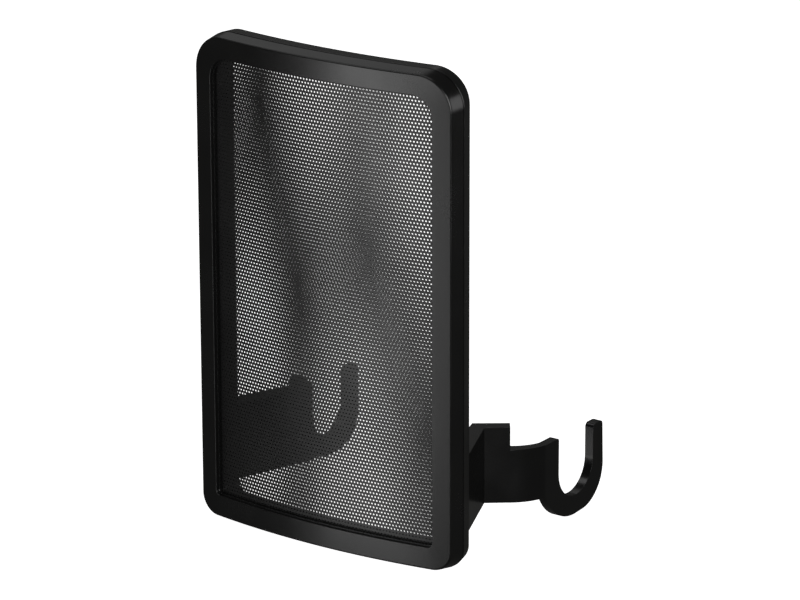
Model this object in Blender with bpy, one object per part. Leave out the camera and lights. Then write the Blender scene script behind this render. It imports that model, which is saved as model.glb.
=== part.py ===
"""A curved pop filter: two metal screens clamped in a plastic frame, with a pair of hook arms behind it.

Axes: X across the width, -Y towards the talker, +Z up. Lengths in the constants are millimetres, measured
from the crest of the front face; the finished pieces are in metres, about the middle of the whole object.
"""
import math

import bmesh
import bpy

MM = 0.001
MIDDLE_Y = 45.0              # middle of the whole object, from the crest of the front face
MIDDLE_Z = -0.295
FACE_RADIUS = 248.7          # the screens and frame bend about one upright axis
GAP = 0.3                    # clearance between neighbouring pieces

# Outlines: half width, top, bottom, radius of the top corners, radius of the bottom corners.
FRONT_EDGE = (48.75, 80.2, -80.25, 11.5, 6.6)
PARTING = (49.43, 80.95, -80.95, 12.1, 6.5)
REAR_EDGE = (48.15, 80.75, -80.7, 11.2, 6.4)
POCKET = (44.0, 76.2, -76.2, 9.6, 4.0)
FRONT_WINDOW = (42.2, 73.5, -73.0, 7.3, 1.6)
REAR_WINDOW = (41.2, 74.3, -74.3, 6.0, 3.0)
SPACER_WINDOW = (42.3, 74.2, -74.2, 6.4, 2.4)

# Depths behind the front face.
LIP_DEPTH = 2.2
SCREEN_THICKNESS = 0.6
FRONT_SCREEN_DEPTH = LIP_DEPTH + GAP
SPACER_DEPTH = FRONT_SCREEN_DEPTH + SCREEN_THICKNESS + GAP
REAR_SCREEN_DEPTH = 7.4
PARTING_DEPTH = 5.7
SHADOW_GAP = 0.5             # open groove between the two frame halves
REAR_LIP_DEPTH = REAR_SCREEN_DEPTH + SCREEN_THICKNESS + GAP
FRAME_DEPTH = 11.1
LEDGE_DEPTH = 1.3
LEDGE_WIDTH = 0.35
EDGE_ROUND = 0.5
WINDOW_CHAMFER = 0.25
SEAM_CHAMFER = 0.25

# Points along each outline.
CORNER_STEPS = 8
ACROSS_STEPS = 16
UPRIGHT_STEPS = 6

# Screws.
SCREW_STEPS = 18
SHANK_RADIUS = 0.7
HEAD_RADIUS = 1.15
HEAD_HEIGHT = 0.7
HEAD_SINK = 0.2
SOCKET_RADIUS = 0.55
SOCKET_DEPTH = 0.35
SCREW_TIP_DEPTH = 2.2
FRAME_SCREW_X = 45.8
FRAME_SCREW_HEIGHTS = (60.0, 12.0, -36.0)
END_SCREW_X = 28.0
END_SCREW_Z = 78.2
ARM_SCREW_X = 43.4
ARM_SCREW_HEIGHTS = (-50.2, -65.4)
ARM_SCREW_HEAD_DEPTH = 8.75
ARM_SCREW_REACH = 3.4

# Hook arms, right-hand one; the left one is its mirror image.
ARM_TOP = -44.9
ARM_BOTTOM = -70.6
SEAT_Z = -52.65
FOOT_OUTER_X = 47.4
FOOT_INNER_X = 40.9
ELBOW_OUTER = (37.0, 40.7)
ELBOW_INNER = (31.4, 41.9)
BEND_CENTRE = (33.15, 60.0)
BEND_START_DEGREES = -54.0
BEND_END_DEGREES = -13.0
BEND_STEPS = 8
SHOULDER_INNER_RADIUS = 13.7
PLATE_OUTER_X = 50.4
PLATE_THICKNESS = 3.1
ARM_EDGE_ROUND = 0.5

# Hook plate, seen from the side: Y back, Z up.
BOWL_CENTRE = (72.95, -63.1)
BOWL_RADIUS = 18.44
HEEL_CENTRE = (77.1, -68.4)
HEEL_RADIUS = 12.9
POST_BACK_Y = 89.6
POST_TOP_Z = -53.9
POST_CORNER = 1.4
SEAT_CORNER = 0.8
SLOT_CENTRE = (73.8, -64.9)
SLOT_RADIUS = 10.1
ARC_STEPS = 12
CORNER_ARC_STEPS = 4


def clear_scene():
    for item in list(bpy.data.objects):
        bpy.data.objects.remove(item, do_unlink=True)


def sag(x):
    """How far the curved face falls back at x."""
    return FACE_RADIUS - math.sqrt(FACE_RADIUS ** 2 - x * x)


def grown(outline, by):
    width, top, bottom, top_radius, bottom_radius = outline
    return (width + by, top + by, bottom - by, top_radius + by, bottom_radius + by)


def arc(centre, radius, start, end, steps):
    """Points on an arc in a plane, angles in degrees, both ends included."""
    points = []
    for i in range(steps + 1):
        angle = math.radians(start + (end - start) * i / steps)
        points.append((centre[0] + radius * math.cos(angle), centre[1] + radius * math.sin(angle)))
    return points


def straight(start, end, steps):
    """Points between two others, ends left out."""
    points = []
    for i in range(1, steps):
        share = i / steps
        points.append((start[0] + (end[0] - start[0]) * share, start[1] + (end[1] - start[1]) * share))
    return points


def outline_points(outline):
    """A rounded rectangle as (x, z) points, anticlockwise from the lower right."""
    width, top, bottom, top_radius, bottom_radius = outline
    lower_right = (width - bottom_radius, bottom + bottom_radius)
    upper_right = (width - top_radius, top - top_radius)
    corners = [
        arc(lower_right, bottom_radius, -90, 0, CORNER_STEPS),
        arc(upper_right, top_radius, 0, 90, CORNER_STEPS),
        arc((-upper_right[0], upper_right[1]), top_radius, 90, 180, CORNER_STEPS),
        arc((-lower_right[0], lower_right[1]), bottom_radius, 180, 270, CORNER_STEPS),
    ]
    steps = [UPRIGHT_STEPS, ACROSS_STEPS, UPRIGHT_STEPS, ACROSS_STEPS]
    points = []
    for i in range(4):
        points += corners[i]
        points += straight(corners[i][-1], corners[(i + 1) % 4][0], steps[i])
    return points


def make_material(name, colour, roughness, metallic):
    material = bpy.data.materials.new(name)
    material.use_nodes = True
    shader = material.node_tree.nodes["Principled BSDF"]
    shader.inputs["Base Color"].default_value = (colour[0], colour[1], colour[2], 1.0)
    shader.inputs["Roughness"].default_value = roughness
    shader.inputs["Metallic"].default_value = metallic
    material.diffuse_color = (colour[0], colour[1], colour[2], 1.0)
    return material


def satin_black(name):
    return make_material(name + "_plastic", (0.030, 0.030, 0.031), 0.42, 0.0)


def screen_black(name):
    return make_material(name + "_coated_steel", (0.045, 0.045, 0.046), 0.38, 0.6)


def spacer_black(name):
    return make_material(name + "_plastic", (0.018, 0.018, 0.018), 0.6, 0.0)


def screw_steel(name):
    return make_material(name + "_steel", (0.16, 0.16, 0.165), 0.34, 1.0)


def add_object(name, body, material):
    """One named node from a finished bmesh in millimetres."""
    bmesh.ops.recalc_face_normals(body, faces=body.faces[:])
    bmesh.ops.translate(body, vec=(0.0, -MIDDLE_Y, -MIDDLE_Z), verts=body.verts[:])
    bmesh.ops.scale(body, vec=(MM, MM, MM), verts=body.verts[:])
    data = bpy.data.meshes.new(name)
    body.to_mesh(data)
    body.free()
    data.materials.append(material)
    item = bpy.data.objects.new(name, data)
    bpy.context.scene.collection.objects.link(item)
    return item


def shade_smooth_by_angle(item, degrees):
    """Round faces shaded smooth; edges sharper than the angle stay crisp."""
    body = bmesh.new()
    body.from_mesh(item.data)
    for face in body.faces:
        face.smooth = True
    for edge in body.edges:
        edge.smooth = edge.calc_face_angle(0.0) < math.radians(degrees)
    body.to_mesh(item.data)
    body.free()


def bridge(body, rings, closed):
    """Skins neighbouring rings of equal length with quads."""
    pairs = len(rings) if closed else len(rings) - 1
    for i in range(pairs):
        first = rings[i]
        second = rings[(i + 1) % len(rings)]
        count = len(first)
        for j in range(count):
            k = (j + 1) % count
            body.faces.new((first[j], first[k], second[k], second[j]))


def frame_ring(name, sections, material):
    """A closed frame whose section passes through each (outline, depth)."""
    body = bmesh.new()
    rings = []
    for outline, depth in sections:
        points = outline_points(outline)
        rings.append([body.verts.new((x, depth + sag(x), z)) for x, z in points])
    bridge(body, rings, True)
    item = add_object(name, body, material)
    shade_smooth_by_angle(item, 30)
    return item


def rod(body, x, z, radius, start, end):
    """A round cutter along Y, ends given as depths behind the face at x."""
    fall = sag(x)
    rings = []
    for depth in (start, end):
        points = arc((x, z), radius, 0, 360, SCREW_STEPS)[:-1]
        rings.append([body.verts.new((px, depth + fall, pz)) for px, pz in points])
    bridge(body, rings, False)
    body.faces.new(rings[0])
    body.faces.new(list(reversed(rings[1])))


def cut(item, cutter_body, name):
    """Takes a hidden cutter out of a piece."""
    cutter = add_object(name, cutter_body, item.data.materials[0])
    cutter.hide_render = True
    cutter.display_type = "WIRE"
    modifier = item.modifiers.new(name, "BOOLEAN")
    modifier.operation = "DIFFERENCE"
    modifier.solver = "EXACT"
    modifier.object = cutter


def frame_screw_places():
    """(name, x, z) of each screw that closes the frame."""
    places = []
    for side, word in ((-1, "left"), (1, "right")):
        for place, z in zip(("upper", "middle", "lower"), FRAME_SCREW_HEIGHTS):
            places.append((f"frame_screw_{word}_{place}", side * FRAME_SCREW_X, z))
        places.append((f"frame_screw_top_{word}", side * END_SCREW_X, END_SCREW_Z))
        places.append((f"frame_screw_bottom_{word}", side * END_SCREW_X, -END_SCREW_Z))
    return places


def arm_screw_places():
    places = []
    for side, word in ((-1, "left"), (1, "right")):
        for place, z in zip(("upper", "lower"), ARM_SCREW_HEIGHTS):
            places.append((f"arm_screw_{word}_{place}", side * ARM_SCREW_X, z))
    return places


def make_front_bezel():
    seam = PARTING_DEPTH - SHADOW_GAP / 2
    ledge = grown(FRONT_WINDOW, -LEDGE_WIDTH)
    bezel = frame_ring("front_bezel", [
        (grown(FRONT_WINDOW, WINDOW_CHAMFER), 0.0),
        (grown(FRONT_EDGE, -EDGE_ROUND), 0.0),
        (grown(FRONT_EDGE, -0.15), 0.15),
        (FRONT_EDGE, EDGE_ROUND),
        (PARTING, seam - SEAM_CHAMFER),
        (grown(PARTING, -SEAM_CHAMFER), seam),
        (POCKET, seam),
        (POCKET, LIP_DEPTH),
        (ledge, LIP_DEPTH),
        (ledge, LEDGE_DEPTH + 0.15),
        (grown(FRONT_WINDOW, -0.1), LEDGE_DEPTH),
        (FRONT_WINDOW, WINDOW_CHAMFER),
    ], satin_black("front_bezel"))
    holes = bmesh.new()
    for _, x, z in frame_screw_places():
        rod(holes, x, z, SHANK_RADIUS + GAP, SCREW_TIP_DEPTH - GAP, PARTING_DEPTH + 1)
    cut(bezel, holes, "front_bezel_holes")


def make_rear_frame():
    seam = PARTING_DEPTH + SHADOW_GAP / 2
    frame = frame_ring("rear_frame", [
        (grown(PARTING, -SEAM_CHAMFER), seam),
        (grown(PARTING, -0.05), seam + SEAM_CHAMFER),
        (REAR_EDGE, FRAME_DEPTH - EDGE_ROUND),
        (grown(REAR_EDGE, -0.15), FRAME_DEPTH - 0.15),
        (grown(REAR_EDGE, -EDGE_ROUND), FRAME_DEPTH),
        (grown(REAR_WINDOW, 0.4), FRAME_DEPTH),
        (grown(REAR_WINDOW, 0.1), FRAME_DEPTH - 0.12),
        (REAR_WINDOW, FRAME_DEPTH - 0.4),
        (REAR_WINDOW, REAR_LIP_DEPTH),
        (POCKET, REAR_LIP_DEPTH),
        (POCKET, seam),
    ], satin_black("rear_frame"))
    head_seat = FRAME_DEPTH - HEAD_SINK - HEAD_HEIGHT - GAP
    holes = bmesh.new()
    for _, x, z in frame_screw_places():
        rod(holes, x, z, SHANK_RADIUS + GAP, PARTING_DEPTH - 1, head_seat)
        rod(holes, x, z, HEAD_RADIUS + GAP, head_seat, FRAME_DEPTH + 1)
    cut(frame, holes, "rear_frame_holes")
    arm_holes = bmesh.new()
    seat = ARM_SCREW_HEAD_DEPTH + HEAD_HEIGHT + GAP
    for _, x, z in arm_screw_places():
        rod(arm_holes, x, z, SHANK_RADIUS + GAP, seat, FRAME_DEPTH + 1)
        rod(arm_holes, x, z, HEAD_RADIUS + GAP, PARTING_DEPTH - 1, seat)
    cut(frame, arm_holes, "rear_frame_arm_holes")


def make_spacer():
    outer = grown(POCKET, -GAP)
    frame_ring("screen_spacer", [
        (SPACER_WINDOW, SPACER_DEPTH),
        (outer, SPACER_DEPTH),
        (outer, REAR_SCREEN_DEPTH - GAP),
        (SPACER_WINDOW, REAR_SCREEN_DEPTH - GAP),
    ], spacer_black("screen_spacer"))


def sheet_stations(outline):
    """(x, bottom z, top z) across a rounded sheet, left to right."""
    width, top, bottom, top_radius, bottom_radius = outline
    stations = set()
    for radius in (top_radius, bottom_radius):
        for x, _ in arc((width - radius, 0.0), radius, 0, 90, CORNER_STEPS):
            stations.add(round(x, 4))
            stations.add(round(-x, 4))
    span = width - top_radius
    for i in range(ACROSS_STEPS + 1):
        stations.add(round(-span + 2 * span * i / ACROSS_STEPS, 4))
    rows = []
    for x in sorted(stations):
        rise = corner_drop(abs(x), width, top_radius)
        lift = corner_drop(abs(x), width, bottom_radius)
        rows.append((x, bottom + lift, top - rise))
    return rows


def corner_drop(x, width, radius):
    """How much a rounded corner takes off the edge at x."""
    reach = max(0.0, x - (width - radius))
    return radius - math.sqrt(max(0.0, radius * radius - reach * reach))


def make_screen(name, depth):
    """A thin curved sheet that fills the pocket."""
    body = bmesh.new()
    rows = []
    for x, low, high in sheet_stations(grown(POCKET, -GAP)):
        front = depth + sag(x)
        back = front + SCREEN_THICKNESS
        corners = [(x, front, low), (x, back, low), (x, back, high), (x, front, high)]
        rows.append([body.verts.new(corner) for corner in corners])
    bridge(body, rows, False)
    body.faces.new(rows[0])
    body.faces.new(list(reversed(rows[-1])))
    item = add_object(name, body, screen_black(name))
    shade_smooth_by_angle(item, 30)


def make_screw(name, x, z, head_back, tip, direction):
    """A small socket screw along Y: direction is 1 when the head is at the back."""
    under_head = head_back - direction * HEAD_HEIGHT
    profile = [
        (SHANK_RADIUS * 0.55, tip),
        (SHANK_RADIUS, tip + direction * 0.4),
        (SHANK_RADIUS, under_head),
        (HEAD_RADIUS, under_head),
        (HEAD_RADIUS, head_back - direction * 0.18),
        (HEAD_RADIUS - 0.18, head_back),
    ]
    body = bmesh.new()
    rings = []
    for radius, y in profile:
        points = arc((x, z), radius, 0, 360, SCREW_STEPS)[:-1]
        rings.append([body.verts.new((px, y, pz)) for px, pz in points])
    for y in (head_back, head_back - direction * SOCKET_DEPTH):
        rings.append([body.verts.new((x + px, y, z + pz)) for px, pz in socket_points()])
    bridge(body, rings, False)
    body.faces.new(rings[0])
    body.faces.new(list(reversed(rings[-1])))
    item = add_object(name, body, screw_steel(name))
    shade_smooth_by_angle(item, 30)


def socket_points():
    """A hexagon with as many points as the round rings have."""
    points = []
    for i in range(SCREW_STEPS):
        angle = 2 * math.pi * i / SCREW_STEPS
        in_side = (angle % (math.pi / 3)) - math.pi / 6
        radius = SOCKET_RADIUS * math.cos(math.pi / 6) / math.cos(in_side)
        points.append((radius * math.cos(angle), radius * math.sin(angle)))
    return points


def make_screws():
    for name, x, z in frame_screw_places():
        head = FRAME_DEPTH - HEAD_SINK + sag(x)
        make_screw(name, x, z, head, SCREW_TIP_DEPTH + sag(x), 1)
    for name, x, z in arm_screw_places():
        head = ARM_SCREW_HEAD_DEPTH + sag(x)
        make_screw(name, x, z, head, FRAME_DEPTH + GAP + ARM_SCREW_REACH + sag(x), -1)


def rear_y(x):
    """Where the foot of an arm starts at x."""
    return FRAME_DEPTH + GAP + sag(x)


def wall_stations():
    """Plan of the arm wall as (outer point, inner point), from the frame to the hook plate."""
    stations = []
    for share in (0.0, 0.33, 0.66):
        outer_foot = (FOOT_OUTER_X, rear_y(FOOT_OUTER_X))
        inner_foot = (FOOT_INNER_X, rear_y(FOOT_INNER_X))
        outer = [a + (b - a) * share for a, b in zip(outer_foot, ELBOW_OUTER)]
        inner = [a + (b - a) * share for a, b in zip(inner_foot, ELBOW_INNER)]
        stations.append((tuple(outer), tuple(inner)))
    stations.append((ELBOW_OUTER, ELBOW_INNER))
    end_cosine = math.cos(math.radians(BEND_END_DEGREES))
    outer_radius = (PLATE_OUTER_X - BEND_CENTRE[0]) / end_cosine
    inner_radius = (PLATE_OUTER_X - PLATE_THICKNESS - BEND_CENTRE[0]) / end_cosine
    outer_arc = arc(BEND_CENTRE, outer_radius, BEND_START_DEGREES, BEND_END_DEGREES, BEND_STEPS)
    for i, outer in enumerate(outer_arc):
        share = i / BEND_STEPS
        radius = SHOULDER_INNER_RADIUS + (inner_radius - SHOULDER_INNER_RADIUS) * share
        degrees = BEND_START_DEGREES + (BEND_END_DEGREES - BEND_START_DEGREES) * share
        inner = arc(BEND_CENTRE, radius, degrees, degrees, 1)[0]
        stations.append((outer, inner))
    return stations


def hook_outline():
    """Side view of the hook plate: (y, z), from the lower front corner round to the seat."""
    start_sine = (ARM_BOTTOM - BOWL_CENTRE[1]) / BOWL_RADIUS
    start = -180 - math.degrees(math.asin(start_sine))
    points = arc(BOWL_CENTRE, BOWL_RADIUS, start, -90, ARC_STEPS)
    points += arc(HEEL_CENTRE, HEEL_RADIUS, -90, 0, ARC_STEPS)
    slot_back = SLOT_CENTRE[0] + SLOT_RADIUS
    slot_front = SLOT_CENTRE[0] - SLOT_RADIUS
    corner_z = POST_TOP_Z - POST_CORNER
    points += arc((POST_BACK_Y - POST_CORNER, corner_z), POST_CORNER, 0, 90, CORNER_ARC_STEPS)
    points += arc((slot_back + POST_CORNER, corner_z), POST_CORNER, 90, 180, CORNER_ARC_STEPS)
    points += arc(SLOT_CENTRE, SLOT_RADIUS, 0, -180, ARC_STEPS + 4)
    seat_centre = (slot_front - SEAT_CORNER, SEAT_Z - SEAT_CORNER)
    points += arc(seat_centre, SEAT_CORNER, 0, 90, CORNER_ARC_STEPS)
    return points


def wall_rings(body, side):
    """Upright columns of the arm wall: outer and inner points at the bottom, seat and top."""
    columns = []
    for outer, inner in wall_stations():
        column = {}
        for height, z in (("low", ARM_BOTTOM), ("seat", SEAT_Z), ("top", ARM_TOP)):
            column[height] = (
                body.verts.new((side * outer[0], outer[1], z)),
                body.verts.new((side * inner[0], inner[1], z)),
            )
        columns.append(column)
    return columns


def skin_wall(body, columns, shoulder):
    """Faces of the arm wall; it is tall up to the shoulder and low behind it."""
    for i in range(len(columns) - 1):
        here = columns[i]
        there = columns[i + 1]
        body.faces.new((here["low"][0], there["low"][0], there["seat"][0], here["seat"][0]))
        body.faces.new((here["low"][1], here["seat"][1], there["seat"][1], there["low"][1]))
        body.faces.new((here["low"][0], here["low"][1], there["low"][1], there["low"][0]))
        roof = "top" if i < shoulder else "seat"
        body.faces.new((here[roof][0], there[roof][0], there[roof][1], here[roof][1]))
        if i < shoulder:
            body.faces.new((here["seat"][0], there["seat"][0], there["top"][0], here["top"][0]))
            body.faces.new((here["seat"][1], here["top"][1], there["top"][1], there["seat"][1]))
    step = columns[shoulder]
    body.faces.new((step["seat"][0], step["seat"][1], step["top"][1], step["top"][0]))
    foot = columns[0]
    body.faces.new((foot["low"][0], foot["seat"][0], foot["seat"][1], foot["low"][1]))
    body.faces.new((foot["seat"][0], foot["top"][0], foot["top"][1], foot["seat"][1]))


def make_arm(name, side):
    body = bmesh.new()
    columns = wall_rings(body, side)
    shoulder = len(columns) - 1 - BEND_STEPS
    skin_wall(body, columns, shoulder)
    last = columns[-1]
    outer = [last["low"][0]]
    inner = [last["low"][1]]
    inner_x = PLATE_OUTER_X - PLATE_THICKNESS
    for y, z in hook_outline():
        outer.append(body.verts.new((side * PLATE_OUTER_X, y, z)))
        inner.append(body.verts.new((side * inner_x, y, z)))
    outer.append(last["seat"][0])
    inner.append(last["seat"][1])
    for i in range(len(outer) - 1):
        body.faces.new((outer[i], outer[i + 1], inner[i + 1], inner[i]))
    body.faces.new(outer)
    body.faces.new(list(reversed(inner)))
    loose = [vert for vert in body.verts if not vert.link_faces]
    bmesh.ops.delete(body, geom=loose, context="VERTS")
    arm = add_object(name, body, satin_black(name))
    add_foot_holes(arm, name, side)
    rounding = arm.modifiers.new("rounded_edges", "BEVEL")
    rounding.width = ARM_EDGE_ROUND * MM
    rounding.segments = 2
    rounding.limit_method = "ANGLE"
    rounding.angle_limit = math.radians(40)
    shade_smooth_by_angle(arm, 35)


def add_foot_holes(arm, name, side):
    holes = bmesh.new()
    for z in ARM_SCREW_HEIGHTS:
        reach = FRAME_DEPTH + GAP + ARM_SCREW_REACH + GAP
        rod(holes, side * ARM_SCREW_X, z, SHANK_RADIUS + GAP, FRAME_DEPTH - 1, reach)
    cut(arm, holes, name + "_holes")


def main():
    clear_scene()
    make_front_bezel()
    make_screen("front_screen", FRONT_SCREEN_DEPTH)
    make_spacer()
    make_screen("rear_screen", REAR_SCREEN_DEPTH)
    make_rear_frame()
    make_arm("left_hook_arm", -1)
    make_arm("right_hook_arm", 1)
    make_screws()


main()
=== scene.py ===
"""Looks of a curved pop filter: two perforated steel screens in a satin black frame with hook arms."""
import math

import bmesh
import bpy
import numpy as np
from mathutils import Matrix, Vector

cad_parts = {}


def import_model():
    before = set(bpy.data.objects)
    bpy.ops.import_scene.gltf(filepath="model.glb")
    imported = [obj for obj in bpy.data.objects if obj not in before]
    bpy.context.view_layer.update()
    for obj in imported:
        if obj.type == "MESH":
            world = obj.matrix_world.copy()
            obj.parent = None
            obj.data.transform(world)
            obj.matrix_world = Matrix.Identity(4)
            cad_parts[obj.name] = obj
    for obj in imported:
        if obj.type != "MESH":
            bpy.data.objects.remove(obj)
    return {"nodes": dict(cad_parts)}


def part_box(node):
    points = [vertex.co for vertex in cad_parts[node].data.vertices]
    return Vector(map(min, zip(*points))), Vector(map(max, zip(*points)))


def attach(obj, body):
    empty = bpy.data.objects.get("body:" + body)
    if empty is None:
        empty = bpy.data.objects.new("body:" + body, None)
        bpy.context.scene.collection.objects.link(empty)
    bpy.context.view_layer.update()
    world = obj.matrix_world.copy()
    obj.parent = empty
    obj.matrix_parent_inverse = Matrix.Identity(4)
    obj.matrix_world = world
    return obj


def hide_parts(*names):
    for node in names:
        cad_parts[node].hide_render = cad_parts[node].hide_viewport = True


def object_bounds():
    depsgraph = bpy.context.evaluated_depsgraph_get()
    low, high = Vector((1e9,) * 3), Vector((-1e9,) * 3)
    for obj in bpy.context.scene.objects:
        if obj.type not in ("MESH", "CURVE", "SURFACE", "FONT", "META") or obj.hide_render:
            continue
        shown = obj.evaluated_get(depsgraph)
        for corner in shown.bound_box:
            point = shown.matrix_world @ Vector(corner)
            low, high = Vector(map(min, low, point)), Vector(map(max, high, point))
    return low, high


MM = 0.001

# The frame bends about one upright axis; lengths in millimetres, from the crest of the front face.
FACE_RADIUS = 248.7

# Outlines: half width, top, bottom, radius of the top corners, radius of the bottom corners.
FRONT_EDGE = (48.75, 80.2, -80.25, 11.5, 6.6)
PARTING = (49.43, 80.95, -80.95, 12.1, 6.5)
REAR_EDGE = (48.15, 80.75, -80.7, 11.2, 6.4)
POCKET = (44.0, 76.2, -76.2, 9.6, 4.0)
FRONT_WINDOW = (42.2, 73.5, -73.0, 7.3, 1.6)
WINDOW_LEDGE = (41.85, 73.15, -72.65, 6.95, 1.25)
REAR_WINDOW = (41.2, 74.3, -74.3, 6.0, 3.0)
SCREEN_EDGE = (43.7, 75.9, -75.9, 9.3, 3.7)
FRONT_HOLES = (42.9, 74.3, -73.9, 7.0, 2.0)
REAR_HOLES = (42.1, 75.0, -75.0, 7.0, 3.6)

# Depths behind the front face.
LEDGE_DEPTH = 1.3
LIP_DEPTH = 2.2
SEAM_FRONT = 5.45
SEAM_REAR = 5.95
REAR_LIP_DEPTH = 8.3
FRAME_DEPTH = 11.1
FRONT_DEPTH = 2.5
REAR_DEPTH = 7.4
SHEET_THICKNESS = 0.12
HOLE_STEPS = 8
EDGE_SLACK = 0.02

# Frame sections as (outline, depth, how far the corner is rounded).
BEZEL_SECTION = [
    (FRONT_WINDOW, 0.0, 0.25),
    (FRONT_EDGE, 0.0, 0.5),
    (PARTING, SEAM_FRONT, 0.24),
    (POCKET, SEAM_FRONT, 0.0),
    (POCKET, LIP_DEPTH, 0.0),
    (WINDOW_LEDGE, LIP_DEPTH, 0.0),
    (WINDOW_LEDGE, LEDGE_DEPTH, 0.12),
    (FRONT_WINDOW, LEDGE_DEPTH, 0.08),
]
REAR_SECTION = [
    (PARTING, SEAM_REAR, 0.24),
    (REAR_EDGE, FRAME_DEPTH, 0.5),
    (REAR_WINDOW, FRAME_DEPTH, 0.35),
    (REAR_WINDOW, REAR_LIP_DEPTH, 0.0),
    (POCKET, REAR_LIP_DEPTH, 0.0),
    (POCKET, SEAM_REAR, 0.0),
]
ROUND_STEPS = 5
CORNER_STEPS = 24
ACROSS_STEPS = 48
UPRIGHT_STEPS = 12

# Screw holes: places, and radii with clearance.
SCREW_SIDES = 24
FRAME_SCREWS = [(45.8, 60.0), (45.8, 12.0), (45.8, -36.0), (28.0, 78.2), (28.0, -78.2)]
ARM_SCREWS = [(43.4, -50.2), (43.4, -65.4)]
SHANK_HOLE = 1.0
HEAD_HOLE = 1.45
HEAD_SEAT = 9.9
ARM_HEAD_SEAT = 9.75
BEZEL_HOLE_DEPTH = 1.9

# Hook arms, right-hand one.
GAP = 0.3
ARM_TOP = -44.9
ARM_BOTTOM = -70.6
SEAT_Z = -52.65
FOOT_OUTER_X = 47.4
FOOT_INNER_X = 40.9
ELBOW_OUTER = (37.0, 40.7)
ELBOW_INNER = (31.4, 41.9)
WALL_SHARES = (0.0, 0.33, 0.66, 1.0)
BEND_CENTRE = (33.15, 60.0)
BEND_DEGREES = (-54.0, -13.0)
BEND_STEPS = 24
SHOULDER_INNER_RADIUS = 13.7
PLATE_OUTER_X = 50.4
PLATE_THICKNESS = 3.1
BOWL_CENTRE = (72.95, -63.1)
BOWL_RADIUS = 18.44
HEEL_CENTRE = (77.1, -68.4)
HEEL_RADIUS = 12.9
POST_BACK_Y = 89.6
POST_TOP_Z = -53.9
POST_CORNER = 1.4
SEAT_CORNER = 0.8
SLOT_CENTRE = (73.8, -64.9)
SLOT_RADIUS = 10.1
ARC_STEPS = 28
CORNER_ARC_STEPS = 6
ARM_EDGE_ROUND = 0.55
ARM_EDGE_STEPS = 4
ROUNDED_ABOVE = 40     # degrees between faces: sharper edges are rounded

# Degrees between faces above which shading shows a crisp edge.
FRAME_CREASE = 40
ARM_CREASE = 35

# Finishes: base shade, roughness and, for plastic, how strong the moulded grain is.
FRAME_PLASTIC = (0.005, 0.24, 0.10)
ARM_PLASTIC = (0.005, 0.22, 0.08)
SPACER_PLASTIC = (0.012, 0.55, 0.4)
SCREEN_COAT = (0.007, 0.34)

# Hole pattern: staggered rows. Pitches, hole diameters, and where each sheet's pattern sits.
PITCH_ACROSS = 1.172
PITCH_ROWS = 1.184
FRONT_HOLE = 0.60
REAR_HOLE = 1.12
FRONT_PHASE = (0.25, 0.0)
REAR_PHASE = (1.127, 1.035)
REAR_STRETCH = (1.01121, 1.00267)
REAR_TURN = 0.00083

# Corners of a cell about its middle, in lattice steps, anticlockwise from the lower left.
CELL_U = np.array([-0.5, 0.0, 0.5, 0.5, 0.0, -0.5])
CELL_V = np.array([-0.5, -0.5, -0.5, 0.5, 0.5, 0.5])

# Camera: direction, distance and framing.
CAMERA_TURN = 34.849
CAMERA_TILT = 18.374
CAMERA_ROLL = -0.09
CAMERA_AWAY = 1439.2
CAMERA_ASIDE = 31.784
CAMERA_RISE = 1.413
CAMERA_LENS = 207.38
CAMERA_SHIFT = (-0.01953, 0.0019)

# Studio, in metres. Softboxes: name, turn, tilt, distance, size, power.
STAGE_RADIUS = 6.0
STAGE_STEPS = 10
STAGE_SIDES = 48
STAGE_CLOSING = 0.98   # stops the crown of the backdrop just short of a point
FLOOR_GAP = 0.0005
ROOM_LIGHT = 0.057
SOFTBOXES = [
    ("front_box", -22, -12, 1.1, (0.4, 0.5), 1.7),
    ("right_box", 45, 8, 1.1, (0.5, 0.5), 6.5),
    ("rear_left_box", -140, 35, 1.1, (0.5, 0.5), 0.24),
    ("rear_right_box", 130, 8, 1.1, (0.5, 0.5), 1.2),
    ("upper_left_box", -60, 60, 1.1, (0.5, 0.5), 1.1),
    ("top_box", 0, 85, 1.1, (0.5, 0.5), 1.7),
]


def crest_to_frame(x, y, z):
    """A point measured from the crest of the front face, in the row frame, in metres."""
    low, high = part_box("front_bezel")
    return Vector((x * MM, low.y + y * MM, (low.z + high.z) / 2 + z * MM))


# ---------------------------------------------------------------- materials

def new_material(name):
    material = bpy.data.materials.new(name)
    material.use_nodes = True
    tree = material.node_tree
    return material, tree, tree.nodes["Principled BSDF"]


def node(tree, kind, **settings):
    made = tree.nodes.new(kind)
    for key, value in settings.items():
        if key in made.inputs:
            made.inputs[key].default_value = value
        else:
            setattr(made, key, value)
    return made


def link(tree, source, target):
    tree.links.new(source, target)


def noise(tree, coords, scale, detail=2.0, roughness=0.5):
    made = node(tree, "ShaderNodeTexNoise", Scale=scale, Detail=detail, Roughness=roughness)
    link(tree, coords, made.inputs["Vector"])
    return made.outputs["Fac"]


def remap(tree, source, low, high, to_low, to_high):
    made = node(tree, "ShaderNodeMapRange", clamp=True)
    for socket, value in zip(("From Min", "From Max", "To Min", "To Max"), (low, high, to_low, to_high)):
        made.inputs[socket].default_value = value
    link(tree, source, made.inputs["Value"])
    return made.outputs["Result"]


def math_node(tree, operation, first, second):
    made = node(tree, "ShaderNodeMath", operation=operation)
    for i, value in enumerate((first, second)):
        if isinstance(value, (int, float)):
            made.inputs[i].default_value = value
        else:
            link(tree, value, made.inputs[i])
    return made.outputs[0]


def mix_colours(tree, factor, first, second):
    made = tree.nodes.new("ShaderNodeMix")
    made.data_type = "RGBA"
    link(tree, factor, made.inputs[0])
    for socket, value in ((made.inputs[6], first), (made.inputs[7], second)):
        if isinstance(value, tuple):
            socket.default_value = value
        else:
            link(tree, value, socket)
    return made.outputs[2]


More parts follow.
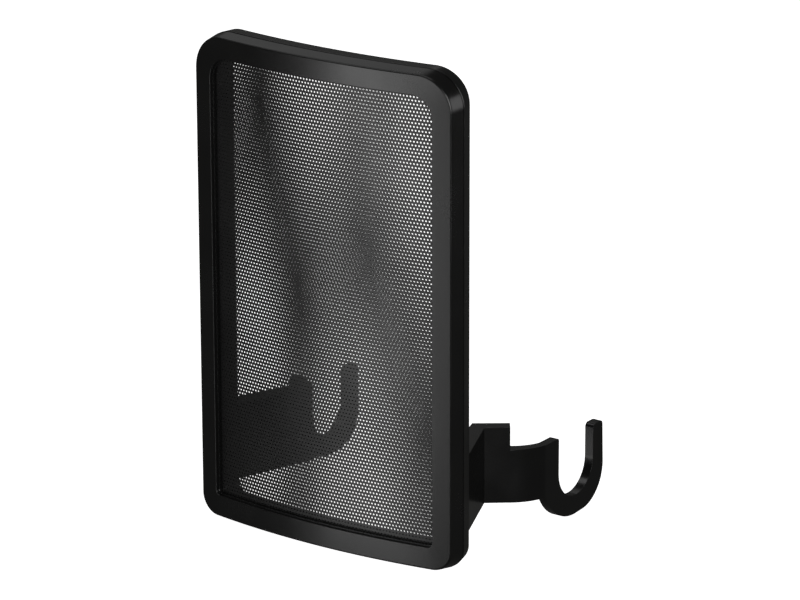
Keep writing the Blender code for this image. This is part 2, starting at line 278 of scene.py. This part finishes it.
def sharp_edge_mask(tree, width):
    """1 where an edge is sharp within the given width, 0 on flat faces."""
    bevel = node(tree, "ShaderNodeBevel", samples=4, Radius=width)
    geometry = tree.nodes.new("ShaderNodeNewGeometry")
    dot = node(tree, "ShaderNodeVectorMath", operation="DOT_PRODUCT")
    link(tree, bevel.outputs["Normal"], dot.inputs[0])
    link(tree, geometry.outputs["Normal"], dot.inputs[1])
    return remap(tree, dot.outputs["Value"], 0.98, 0.80, 0.0, 1.0)


def plastic(name, shade, roughness, grain):
    """Satin moulded plastic: fine spark-eroded grain, faint mottling, edges a little lighter in colour,
    partly wear and partly a painted highlight.
    """
    material, tree, shader = new_material(name)
    coords = tree.nodes.new("ShaderNodeTexCoord").outputs["Object"]
    mottle = noise(tree, coords, 60.0, 3.0)
    fine = noise(tree, coords, 2600.0, 2.0, 0.6)
    grit = noise(tree, coords, 5200.0, 1.0)
    dark = (shade * 0.88, shade * 0.88, shade * 0.86, 1)
    light = (shade * 1.12, shade * 1.12, shade * 1.12, 1)
    base = mix_colours(tree, mottle, dark, light)
    patches = remap(tree, noise(tree, coords, 220.0), 0.35, 0.7, 0.1, 0.6)
    # Sharp edges get a lighter base colour in random patches: partly wear, partly a painted highlight
    # standing in for light caught along the rounded edges.
    wear_and_sheen_mask = math_node(tree, "MULTIPLY", sharp_edge_mask(tree, 0.0004), patches)
    bright_edge = (shade * 2.4, shade * 2.4, shade * 2.35, 1)
    link(tree, mix_colours(tree, wear_and_sheen_mask, base, bright_edge), shader.inputs["Base Color"])
    gloss = remap(tree, mottle, 0.3, 0.7, roughness - 0.03, roughness + 0.03)
    gloss = math_node(tree, "ADD", gloss, remap(tree, fine, 0.3, 0.7, -0.02, 0.02))
    gloss = math_node(tree, "SUBTRACT", gloss, math_node(tree, "MULTIPLY", wear_and_sheen_mask, 0.08))
    link(tree, gloss, shader.inputs["Roughness"])
    fine_height = math_node(tree, "MULTIPLY", fine, 0.65)
    height = math_node(tree, "ADD", fine_height, math_node(tree, "MULTIPLY", grit, 0.35))
    bump = node(tree, "ShaderNodeBump", Strength=grain, Distance=0.00004)
    link(tree, height, bump.inputs["Height"])
    link(tree, bump.outputs["Normal"], shader.inputs["Normal"])
    return material


def coated_steel(name, shade, roughness):
    """Black powder coat on sheet steel: orange-peel bump and slightly varied gloss."""
    material, tree, shader = new_material(name)
    coords = tree.nodes.new("ShaderNodeTexCoord").outputs["Object"]
    patches = noise(tree, coords, 35.0, 3.0)
    peel = noise(tree, coords, 4200.0, 2.0)
    dark = (shade * 0.85, shade * 0.85, shade * 0.86, 1)
    light = (shade * 1.15, shade * 1.15, shade * 1.14, 1)
    link(tree, mix_colours(tree, patches, dark, light), shader.inputs["Base Color"])
    gloss = remap(tree, patches, 0.3, 0.7, roughness - 0.04, roughness + 0.04)
    gloss = math_node(tree, "ADD", gloss, remap(tree, peel, 0.3, 0.7, -0.04, 0.04))
    link(tree, gloss, shader.inputs["Roughness"])
    bump = node(tree, "ShaderNodeBump", Strength=0.25, Distance=0.00003)
    link(tree, peel, bump.inputs["Height"])
    link(tree, bump.outputs["Normal"], shader.inputs["Normal"])
    return material


def screw_metal(name):
    """Blackened steel with a fine bumpy grain and brighter rubbed edges."""
    material, tree, shader = new_material(name)
    coords = tree.nodes.new("ShaderNodeTexCoord").outputs["Object"]
    patches = noise(tree, coords, 900.0, 3.0)
    bright_edge = sharp_edge_mask(tree, 0.00015)
    base = mix_colours(tree, patches, (0.05, 0.05, 0.052, 1), (0.10, 0.10, 0.102, 1))
    link(tree, mix_colours(tree, bright_edge, base, (0.32, 0.32, 0.33, 1)), shader.inputs["Base Color"])
    link(tree, remap(tree, patches, 0.3, 0.7, 0.28, 0.44), shader.inputs["Roughness"])
    bump = node(tree, "ShaderNodeBump", Strength=0.3, Distance=0.00002)
    link(tree, noise(tree, coords, 6000.0), bump.inputs["Height"])
    link(tree, bump.outputs["Normal"], shader.inputs["Normal"])
    shader.inputs["Metallic"].default_value = 1.0
    return material


def paint_nodes(frame):
    """Gives the CAD nodes that stay in view their finish."""
    spacer_finish = plastic("matt_plastic", *SPACER_PLASTIC)
    screw_finish = screw_metal("black_screw_steel")
    for name, item in frame["nodes"].items():
        finish = screw_finish if "screw" in name else spacer_finish
        for i in range(len(item.material_slots)):
            item.material_slots[i].material = finish


# ---------------------------------------------------------------- moulded pieces

def sag(x):
    return FACE_RADIUS - math.sqrt(FACE_RADIUS ** 2 - x * x)


def arc(centre, radius, start, end, steps):
    """Points on an arc, angles in degrees, both ends included."""
    angles = [math.radians(start + (end - start) * i / steps) for i in range(steps + 1)]
    return [(centre[0] + radius * math.cos(a), centre[1] + radius * math.sin(a)) for a in angles]


def straight(start, end, steps):
    """Points between two others, ends left out."""
    shares = [i / steps for i in range(1, steps)]
    return [(start[0] + (end[0] - start[0]) * t, start[1] + (end[1] - start[1]) * t) for t in shares]


def outline_points(outline):
    """A rounded rectangle as (x, z) points, anticlockwise from the lower right."""
    width, top, bottom, top_radius, bottom_radius = outline
    right, left = width - bottom_radius, bottom_radius - width
    corners = [
        arc((right, bottom + bottom_radius), bottom_radius, -90, 0, CORNER_STEPS),
        arc((width - top_radius, top - top_radius), top_radius, 0, 90, CORNER_STEPS),
        arc((top_radius - width, top - top_radius), top_radius, 90, 180, CORNER_STEPS),
        arc((left, bottom + bottom_radius), bottom_radius, 180, 270, CORNER_STEPS),
    ]
    steps = [UPRIGHT_STEPS, ACROSS_STEPS, UPRIGHT_STEPS, ACROSS_STEPS]
    points = []
    for i in range(4):
        points += corners[i]
        points += straight(corners[i][-1], corners[(i + 1) % 4][0], steps[i])
    return points


def rounded_section(section):
    """The section's corners, each replaced by a short smooth curve, as (outline, depth) rows."""
    rows = [np.array([*outline, depth]) for outline, depth, _ in section]
    rounded = []
    for i, (_, _, amount) in enumerate(section):
        here = rows[i]
        if amount == 0.0:
            rounded.append(here)
            continue
        ends = []
        for other in (rows[i - 1], rows[(i + 1) % len(rows)]):
            run = math.hypot(other[0] - here[0], other[5] - here[5])
            ends.append(here + (other - here) * amount / run)
        for k in range(ROUND_STEPS + 1):
            t = k / ROUND_STEPS
            rounded.append((1 - t) ** 2 * ends[0] + 2 * t * (1 - t) * here + t * t * ends[1])
    return rounded


def add_piece(name, body):
    """A finished bmesh in crest millimetres becomes an object in the row frame."""
    bmesh.ops.recalc_face_normals(body, faces=body.faces[:])
    origin = crest_to_frame(0, 0, 0)
    bmesh.ops.scale(body, vec=(MM, MM, MM), verts=body.verts[:])
    bmesh.ops.translate(body, vec=origin, verts=body.verts[:])
    mesh = bpy.data.meshes.new(name)
    body.to_mesh(mesh)
    body.free()
    item = bpy.data.objects.new(name, mesh)
    bpy.context.scene.collection.objects.link(item)
    return item


def bridge(body, rings, closed):
    for i in range(len(rings) if closed else len(rings) - 1):
        first, second = rings[i], rings[(i + 1) % len(rings)]
        for j in range(len(first)):
            k = (j + 1) % len(first)
            body.faces.new((first[j], first[k], second[k], second[j]))


def frame_ring(name, section):
    body = bmesh.new()
    rings = []
    for row in rounded_section(section):
        points = outline_points(tuple(row[:5]))
        rings.append([body.verts.new((x, row[5] + sag(x), z)) for x, z in points])
    bridge(body, rings, True)
    return add_piece(name, body)


def hole_rod(body, x, z, radius, start, end):
    rings = []
    for depth in (start, end):
        points = arc((x, z), radius, 0, 360, SCREW_SIDES)[:-1]
        rings.append([body.verts.new((px, depth + sag(x), pz)) for px, pz in points])
    bridge(body, rings, False)
    body.faces.new(rings[0])
    body.faces.new(list(reversed(rings[1])))


def cut_holes(item, rods):
    """Takes round holes out of a piece, then lets go of the cutter."""
    for number, group in enumerate(rods):
        body = bmesh.new()
        for rod in group:
            hole_rod(body, *rod)
        cutter = add_piece(f"{item.name}_cutter_{number}", body)
        modifier = item.modifiers.new("holes", "BOOLEAN")
        modifier.solver = "EXACT"
        modifier.object = cutter
        apply_modifiers(item)
        bpy.data.objects.remove(cutter)


def apply_modifiers(item):
    bpy.context.view_layer.update()
    evaluated = item.evaluated_get(bpy.context.evaluated_depsgraph_get())
    mesh = bpy.data.meshes.new_from_object(evaluated)
    item.modifiers.clear()
    item.data = mesh


def smooth(item, degrees):
    """Smooth shading with crisp edges above the angle; large faces keep their own direction."""
    body = bmesh.new()
    body.from_mesh(item.data)
    for face in body.faces:
        face.smooth = True
    for edge in body.edges:
        edge.smooth = edge.calc_face_angle(0.0) < math.radians(degrees)
    body.to_mesh(item.data)
    body.free()
    weighting = item.modifiers.new("weighted", "WEIGHTED_NORMAL")
    weighting.keep_sharp = True
    weighting.weight = 100


def both_sides(places):
    return [(side * x, z) for side in (-1, 1) for x, z in places]


def make_frame(finish):
    bezel = frame_ring("bezel", BEZEL_SECTION)
    places = both_sides(FRAME_SCREWS)
    cut_holes(bezel, [[(x, z, SHANK_HOLE, BEZEL_HOLE_DEPTH, SEAM_REAR) for x, z in places]])
    rear = frame_ring("rear_shell", REAR_SECTION)
    arm_places = both_sides(ARM_SCREWS)
    cut_holes(rear, [
        [(x, z, SHANK_HOLE, SEAM_FRONT, FRAME_DEPTH + 1) for x, z in places + arm_places],
        [(x, z, HEAD_HOLE, HEAD_SEAT, FRAME_DEPTH + 1) for x, z in places],
        [(x, z, HEAD_HOLE, SEAM_FRONT, ARM_HEAD_SEAT) for x, z in arm_places],
    ])
    pieces = ((bezel, "front_bezel", "bezel_plastic"), (rear, "rear_frame", "frame_plastic"))
    for item, node_name, slot in pieces:
        smooth(item, FRAME_CREASE)
        finish_piece(item, finish, node_name)


def finish_piece(item, finish, node_name):
    item.data.materials.clear()
    item.data.materials.append(finish)
    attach(item, "root")
    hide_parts(node_name)


def wall_stations():
    """Plan of the arm wall as (outer point, inner point), from the frame to the hook plate."""
    stations = []
    outer_foot = (FOOT_OUTER_X, FRAME_DEPTH + GAP + sag(FOOT_OUTER_X))
    inner_foot = (FOOT_INNER_X, FRAME_DEPTH + GAP + sag(FOOT_INNER_X))
    for share in WALL_SHARES:
        outer = [a + (b - a) * share for a, b in zip(outer_foot, ELBOW_OUTER)]
        inner = [a + (b - a) * share for a, b in zip(inner_foot, ELBOW_INNER)]
        stations.append((tuple(outer), tuple(inner)))
    end_cosine = math.cos(math.radians(BEND_DEGREES[1]))
    outer_radius = (PLATE_OUTER_X - BEND_CENTRE[0]) / end_cosine
    inner_radius = (PLATE_OUTER_X - PLATE_THICKNESS - BEND_CENTRE[0]) / end_cosine
    for i, outer in enumerate(arc(BEND_CENTRE, outer_radius, *BEND_DEGREES, BEND_STEPS)):
        share = i / BEND_STEPS
        radius = SHOULDER_INNER_RADIUS + (inner_radius - SHOULDER_INNER_RADIUS) * share
        degrees = BEND_DEGREES[0] + (BEND_DEGREES[1] - BEND_DEGREES[0]) * share
        stations.append((outer, arc(BEND_CENTRE, radius, degrees, degrees, 1)[0]))
    return stations


def hook_outline():
    """Side view of the hook plate: (y, z), from the lower front corner round to the seat."""
    start = -180 - math.degrees(math.asin((ARM_BOTTOM - BOWL_CENTRE[1]) / BOWL_RADIUS))
    points = arc(BOWL_CENTRE, BOWL_RADIUS, start, -90, ARC_STEPS)
    points += arc(HEEL_CENTRE, HEEL_RADIUS, -90, 0, ARC_STEPS)
    slot_back = SLOT_CENTRE[0] + SLOT_RADIUS
    slot_front = SLOT_CENTRE[0] - SLOT_RADIUS
    corner_z = POST_TOP_Z - POST_CORNER
    points += arc((POST_BACK_Y - POST_CORNER, corner_z), POST_CORNER, 0, 90, CORNER_ARC_STEPS)
    points += arc((slot_back + POST_CORNER, corner_z), POST_CORNER, 90, 180, CORNER_ARC_STEPS)
    points += arc(SLOT_CENTRE, SLOT_RADIUS, 0, -180, ARC_STEPS)
    points += arc((slot_front - SEAT_CORNER, SEAT_Z - SEAT_CORNER), SEAT_CORNER, 0, 90, CORNER_ARC_STEPS)
    return points


def arm_columns(body, side):
    columns = []
    for outer, inner in wall_stations():
        columns.append({height: (body.verts.new((side * outer[0], outer[1], z)),
                                 body.verts.new((side * inner[0], inner[1], z)))
                        for height, z in (("low", ARM_BOTTOM), ("seat", SEAT_Z), ("top", ARM_TOP))})
    return columns


def skin_wall(body, columns, shoulder):
    """Faces of the arm wall; it is tall up to the shoulder and low behind it."""
    for i in range(len(columns) - 1):
        here, there = columns[i], columns[i + 1]
        body.faces.new((here["low"][0], there["low"][0], there["seat"][0], here["seat"][0]))
        body.faces.new((here["low"][1], here["seat"][1], there["seat"][1], there["low"][1]))
        body.faces.new((here["low"][0], here["low"][1], there["low"][1], there["low"][0]))
        roof = "top" if i < shoulder else "seat"
        body.faces.new((here[roof][0], there[roof][0], there[roof][1], here[roof][1]))
        if i < shoulder:
            body.faces.new((here["seat"][0], there["seat"][0], there["top"][0], here["top"][0]))
            body.faces.new((here["seat"][1], here["top"][1], there["top"][1], there["seat"][1]))
    step, foot = columns[shoulder], columns[0]
    body.faces.new((step["seat"][0], step["seat"][1], step["top"][1], step["top"][0]))
    body.faces.new((foot["low"][0], foot["seat"][0], foot["seat"][1], foot["low"][1]))
    body.faces.new((foot["seat"][0], foot["top"][0], foot["top"][1], foot["seat"][1]))


def make_arm(name, node_name, side, finish):
    body = bmesh.new()
    columns = arm_columns(body, side)
    skin_wall(body, columns, len(columns) - 1 - BEND_STEPS)
    last = columns[-1]
    outer, inner = [last["low"][0]], [last["low"][1]]
    for y, z in hook_outline():
        outer.append(body.verts.new((side * PLATE_OUTER_X, y, z)))
        inner.append(body.verts.new((side * (PLATE_OUTER_X - PLATE_THICKNESS), y, z)))
    outer.append(last["seat"][0])
    inner.append(last["seat"][1])
    for i in range(len(outer) - 1):
        body.faces.new((outer[i], outer[i + 1], inner[i + 1], inner[i]))
    body.faces.new(outer)
    body.faces.new(list(reversed(inner)))
    bmesh.ops.delete(body, geom=[v for v in body.verts if not v.link_faces], context="VERTS")
    arm = add_piece(name, body)
    rounding = arm.modifiers.new("rounded_edges", "BEVEL")
    rounding.width = ARM_EDGE_ROUND * MM
    rounding.segments = ARM_EDGE_STEPS
    rounding.limit_method = "ANGLE"
    rounding.angle_limit = math.radians(ROUNDED_ABOVE)
    apply_modifiers(arm)
    smooth(arm, ARM_CREASE)
    finish_piece(arm, finish, node_name)


# ---------------------------------------------------------------- perforated screens

def inside(outline, x, z):
    """How far each point lies inside a rounded rectangle (negative outside)."""
    width, top, bottom, top_radius, bottom_radius = outline
    radius = np.where(z > 0, top_radius, bottom_radius)
    over_x = np.abs(x) - (width - radius)
    over_z = np.where(z > 0, z - (top - top_radius), (bottom + bottom_radius) - z)
    corner = radius - np.hypot(np.maximum(over_x, 0), np.maximum(over_z, 0))
    flat = radius - np.maximum(over_x, over_z)
    return np.where((over_x > 0) & (over_z > 0), corner, flat)


def pull_in(outline, x, z):
    """Moves points that lie outside a rounded rectangle onto its edge."""
    width, top, bottom, top_radius, bottom_radius = outline
    radius = np.where(z > 0, top_radius, bottom_radius)
    x = np.clip(x, -width, width)
    z = np.clip(z, bottom, top)
    side = np.sign(x)
    centre_x = side * (width - radius)
    centre_z = np.where(z > 0, top - top_radius, bottom + bottom_radius)
    dx = x - centre_x
    dz = z - centre_z
    in_corner = (np.abs(x) > width - radius) & (np.where(z > 0, dz > 0, dz < 0))
    away = np.hypot(dx, dz)
    share = np.where(in_corner & (away > radius), radius / np.maximum(away, 1e-9), 1.0)
    return np.where(in_corner, centre_x + dx * share, x), np.where(in_corner, centre_z + dz * share, z)


def cell_grid(stretch):
    """Brick cells that cover the sheet, as (column, row) index arrays."""
    across = PITCH_ACROSS / stretch[0]
    up = PITCH_ROWS / stretch[1]
    columns = int(SCREEN_EDGE[0] / across) + 3
    rows = int(SCREEN_EDGE[1] / up) + 3
    i, j = np.meshgrid(np.arange(-columns, columns + 1), np.arange(-rows, rows + 1))
    return i.ravel(), j.ravel()


def flat_place(i, j, phase, stretch, turn):
    """Places in the developed sheet of half-step lattice coordinates."""
    u = i * PITCH_ACROSS + phase[0]
    v = j * PITCH_ROWS + phase[1]
    return (u + v * turn) / stretch[0], (v - u * turn) / stretch[1]


def across_sheet(s, sheet_radius):
    """X of a place on the curved sheet, from its distance along the developed sheet."""
    return sheet_radius * np.sin(s / sheet_radius)


def sheet_cells(pattern, sheet_radius):
    """Cells that touch the sheet, as half-step columns and rows, with their middles as x and z."""
    stretch = pattern[1]
    columns, rows = cell_grid(stretch)
    cell_u = columns + (rows % 2) * 0.5    # every other row is set over by half a step
    edge_s, edge_z = flat_place(cell_u[:, None] + CELL_U, rows[:, None] + CELL_V, *pattern)
    edge_x = across_sheet(edge_s, sheet_radius)
    keep = (inside(SCREEN_EDGE, edge_x, edge_z) > -EDGE_SLACK).any(axis=1)
    return cell_u[keep], rows[keep]


def shared_corners(cell_u, rows, pattern, sheet_radius):
    """Corner points of all cells, each once, and each cell's six indices into them."""
    # Keyed in half steps, so that neighbouring cells meet exactly.
    key_u = np.rint((cell_u[:, None] + CELL_U) * 2).astype(int)
    key_v = np.rint((rows[:, None] + CELL_V) * 2).astype(int)
    keys = np.stack([key_u.ravel(), key_v.ravel()], axis=1)
    unique, index = np.unique(keys, axis=0, return_inverse=True)
    flat_s, flat_z = flat_place(unique[:, 0] / 2, unique[:, 1] / 2, *pattern)
    x, z = pull_in(SCREEN_EDGE, across_sheet(flat_s, sheet_radius), flat_z)
    return x, z, index.reshape(key_u.shape)


def perforated_sheet(name, depth, pattern, field, hole):
    """A curved sheet with a hole in the middle of each cell of its staggered grid.

    The pattern is where its grid starts, how far it is stretched and how far it is turned.
    """
    sheet_radius = FACE_RADIUS - depth
    cell_u, rows = sheet_cells(pattern, sheet_radius)
    cell_s, cell_z = flat_place(cell_u, rows, *pattern)
    open_cell = inside(field, across_sheet(cell_s, sheet_radius), cell_z) > 0
    corner_x, corner_z, index = shared_corners(cell_u, rows, pattern, sheet_radius)

    angles = 2 * math.pi * (np.arange(HOLE_STEPS) + 0.5) / HOLE_STEPS
    hole_s = cell_s[open_cell, None] + hole / 2 * np.cos(angles)
    hole_z = cell_z[open_cell, None] + hole / 2 * np.sin(angles)
    hole_x = across_sheet(hole_s, sheet_radius)

    faces = []
    around = ring_to_hole()
    for order, cell in enumerate(np.flatnonzero(open_cell)):
        start = len(corner_x) + order * HOLE_STEPS
        for outer_part, hole_part in around:
            faces.append([index[cell][k] for k in outer_part] + [start + k for k in hole_part])
    for cell in np.flatnonzero(~open_cell):
        faces.append(list(index[cell]))
    flat_x = np.concatenate([corner_x, hole_x.ravel()])
    flat_z = np.concatenate([corner_z, hole_z.ravel()])
    return build_sheet(name, flat_x, flat_z, faces, sheet_radius)


def ring_to_hole():
    """Faces between a cell's six corners and the octagonal hole, as index lists."""
    # Cell corners: 0 lower left, 1 lower middle, 2 lower right, then 3 to 5 back along the top.
    # Hole points: 0 at 22.5 degrees, the rest every 45 degrees, anticlockwise.
    return [
        ([0, 1], [5, 4]),
        ([1, 2], [6, 5]),
        ([2, 3], [0, 7, 6]),
        ([3, 4], [1, 0]),
        ([4, 5], [2, 1]),
        ([5, 0], [4, 3, 2]),
    ]


def build_sheet(name, flat_x, flat_z, faces, sheet_radius):
    """Thickens a one-sided patch of faces into a closed curved sheet."""
    count = len(flat_x)
    angle = np.arcsin(flat_x / sheet_radius)
    low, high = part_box("front_bezel")
    middle_z = (low.z + high.z) / 2
    layers = []
    for back in (0.0, SHEET_THICKNESS):
        radius = sheet_radius - back
        x = radius * np.sin(angle)
        y = FACE_RADIUS - radius * np.cos(angle)
        layers.append(np.stack([x * MM, low.y + y * MM, middle_z + flat_z * MM], axis=1))
    points = np.concatenate(layers)

    edges = dict.fromkeys((a, b) for face in faces for a, b in zip(face, face[1:] + face[:1]))
    walls = [(b, a, a + count, b + count) for (a, b) in edges if (b, a) not in edges]
    back_faces = [[k + count for k in reversed(face)] for face in faces]
    mesh = bpy.data.meshes.new(name)
    mesh.from_pydata(points.tolist(), [], [list(map(int, f)) for f in faces + back_faces + walls])
    mesh.validate()
    mesh.update()
    item = bpy.data.objects.new(name, mesh)
    bpy.context.scene.collection.objects.link(item)
    return item


def make_screens():
    finish = coated_steel("coated_steel", *SCREEN_COAT)
    front_pattern = (FRONT_PHASE, (1.0, 1.0), 0.0)
    rear_pattern = (REAR_PHASE, REAR_STRETCH, REAR_TURN)
    front = perforated_sheet("front_mesh", FRONT_DEPTH, front_pattern, FRONT_HOLES, FRONT_HOLE)
    rear = perforated_sheet("rear_mesh", REAR_DEPTH, rear_pattern, REAR_HOLES, REAR_HOLE)
    for item, node_name in ((front, "front_screen"), (rear, "rear_screen")):
        finish_piece(item, finish, node_name)


# ---------------------------------------------------------------- studio

def make_floor():
    """A white floor that curves up into a white backdrop; only the camera sees it."""
    low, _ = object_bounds()
    body = bmesh.new()
    rings = []
    for i in range(STAGE_STEPS + 1):
        angle = math.pi / 2 * i / STAGE_STEPS
        radius, height = STAGE_RADIUS * math.cos(angle * STAGE_CLOSING), STAGE_RADIUS * math.sin(angle)
        circle = arc((0.0, 0.0), radius, 0, 360, STAGE_SIDES)[:-1]
        rings.append([body.verts.new((x, y, height)) for x, y in circle])
    body.faces.new(rings[0])
    bridge(body, rings, False)
    body.faces.new(rings[-1])
    mesh = bpy.data.meshes.new("floor")
    body.to_mesh(mesh)
    body.free()
    floor = bpy.data.objects.new("floor", mesh)
    floor.location.z = low[2] - FLOOR_GAP
    bpy.context.scene.collection.objects.link(floor)
    material, _, shader = new_material("pale_floor")
    shader.inputs["Base Color"].default_value = (0.85, 0.85, 0.85, 1)
    shader.inputs["Roughness"].default_value = 0.9
    shader.inputs["Emission Color"].default_value = (1, 1, 1, 1)
    shader.inputs["Emission Strength"].default_value = 1.0
    mesh.materials.append(material)
    floor.visible_diffuse = False
    floor.visible_glossy = False
    floor.visible_transmission = False
    floor.visible_shadow = False


def towards(turn, tilt):
    """Direction from the object, in degrees; turn 0 is straight in front of it, tilt is upwards."""
    turn, tilt = math.radians(turn), math.radians(tilt)
    level = math.cos(tilt)
    return Vector((math.sin(turn) * level, -math.cos(turn) * level, math.sin(tilt)))


def softbox(name, turn, tilt, away, size, power):
    """A rectangular soft light that faces the object."""
    place = towards(turn, tilt) * away
    data = bpy.data.lights.new(name, "AREA")
    data.shape = "RECTANGLE"
    data.size, data.size_y = size
    data.energy = power
    light = bpy.data.objects.new(name, data)
    light.location = place
    light.rotation_euler = (-place).to_track_quat("-Z", "Y").to_euler()
    light.visible_camera = False
    bpy.context.scene.collection.objects.link(light)


def make_lights():
    world = bpy.data.worlds.new("studio")
    world.use_nodes = True
    background = world.node_tree.nodes["Background"]
    background.inputs["Color"].default_value = (1.0, 1.0, 0.97, 1)
    background.inputs["Strength"].default_value = ROOM_LIGHT
    bpy.context.scene.world = world
    for light in SOFTBOXES:
        softbox(*light)


def make_camera():
    back = towards(CAMERA_TURN, CAMERA_TILT)
    level_right = Vector((math.cos(math.radians(CAMERA_TURN)), math.sin(math.radians(CAMERA_TURN)), 0))
    level_up = back.cross(level_right)
    cosine, sine = math.cos(math.radians(CAMERA_ROLL)), math.sin(math.radians(CAMERA_ROLL))
    right = level_right * cosine + level_up * sine
    up = level_up * cosine - level_right * sine
    place = back * CAMERA_AWAY + right * CAMERA_ASIDE + up * CAMERA_RISE
    data = bpy.data.cameras.new("camera")
    data.lens = CAMERA_LENS
    data.sensor_width = 36.0
    data.shift_x, data.shift_y = CAMERA_SHIFT
    data.clip_start = 0.05
    data.clip_end = 50
    camera = bpy.data.objects.new("camera", data)
    facing = Matrix((right, up, back)).transposed().to_4x4()
    camera.matrix_world = Matrix.Translation(crest_to_frame(*place)) @ facing
    bpy.context.scene.collection.objects.link(camera)
    bpy.context.scene.camera = camera


def main():
    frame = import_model()
    bpy.context.scene.view_settings.view_transform = "Standard"
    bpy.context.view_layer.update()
    make_camera()
    paint_nodes(frame)
    frame_finish = plastic("satin_plastic", *FRAME_PLASTIC)
    arm_finish = plastic("arm_plastic", *ARM_PLASTIC)
    make_frame(frame_finish)
    make_arm("right_hook", "right_hook_arm", 1, arm_finish)
    make_arm("left_hook", "left_hook_arm", -1, arm_finish)
    make_screens()
    make_floor()
    make_lights()


main()
